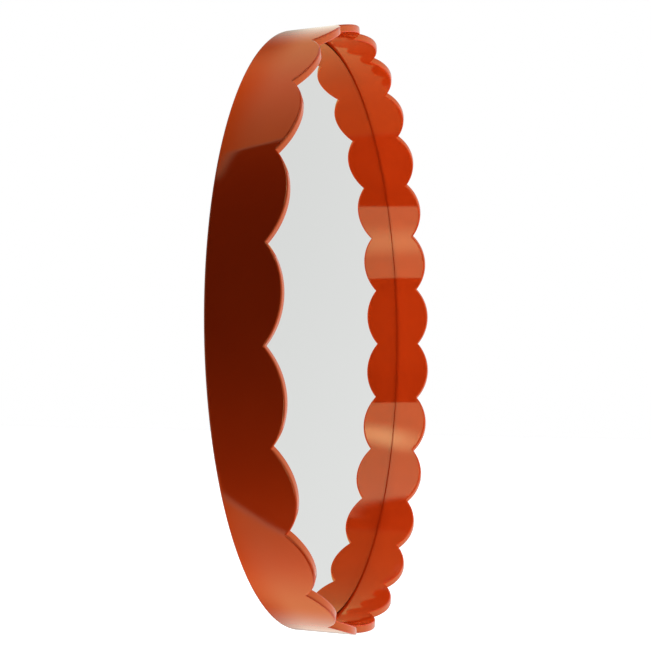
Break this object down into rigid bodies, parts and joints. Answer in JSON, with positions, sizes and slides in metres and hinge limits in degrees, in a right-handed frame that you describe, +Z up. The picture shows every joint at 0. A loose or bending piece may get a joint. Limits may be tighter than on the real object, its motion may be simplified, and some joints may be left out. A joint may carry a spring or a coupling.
{
  "type": "scalloped round wall mirror",
  "caption": "Round wall mirror set deep in a glossy orange lacquered hoop with a scalloped front edge, hung by D-rings on its back.",
  "frame": {"origin": "centre of the hoop, in the plane of its back edge", "axes": "+Y square to the wall and into it, so the mirror faces -Y; +Z up; +X right as seen from the room"},
  "size_m": [0.762, 0.0772, 0.762],
  "materials": {
    "orange_lacquer": "high-gloss orange lacquer",
    "silvered_glass": "silvered float glass, polished arris",
    "film": "plain woven-look film",
    "mastic": "cured mastic",
    "foam_tape": "closed-cell foam",
    "black_rubber": "matt",
    "board": "plain fibreboard",
    "birch_ply": "sanded plywood",
    "bright_steel": "bright wire",
    "zinc_steel": "zinc plated",
    "felt": "pressed felt"
  },
  "bodies": {
    "mirror": {"scalloped_hoop": "orange_lacquer", "mirror_glass": "silvered_glass", "safety_film": "film", "mastic_dabs": "mastic", "tape_strips": "foam_tape", "edge_spacers": "black_rubber", "backing_board": "board", "ledger_top": "birch_ply", "ledger_right": "birch_ply", "ledger_bottom": "birch_ply", "ledger_left": "birch_ply", "ledger_brads": "bright_steel", "board_screws": "zinc_steel", "hanger_strap_left": "zinc_steel", "hanger_strap_right": "zinc_steel", "hanger_screws": "zinc_steel", "wall_bumpers": "felt"},
    "left_ring": {"d_ring_left": "zinc_steel"},
    "right_ring": {"d_ring_right": "zinc_steel"}
  },
  "joints": [
    {"name": "left_ring_swing", "type": "hinge", "parent": "mirror", "child": "left_ring", "pos_m": [-0.19, -0.005, 0.17], "axis": [1, 0, 0], "range_deg": [0, 180]},
    {"name": "right_ring_swing", "type": "hinge", "parent": "mirror", "child": "right_ring", "pos_m": [0.19, -0.005, 0.17], "axis": [1, 0, 0], "range_deg": [0, 180]}
  ]
}
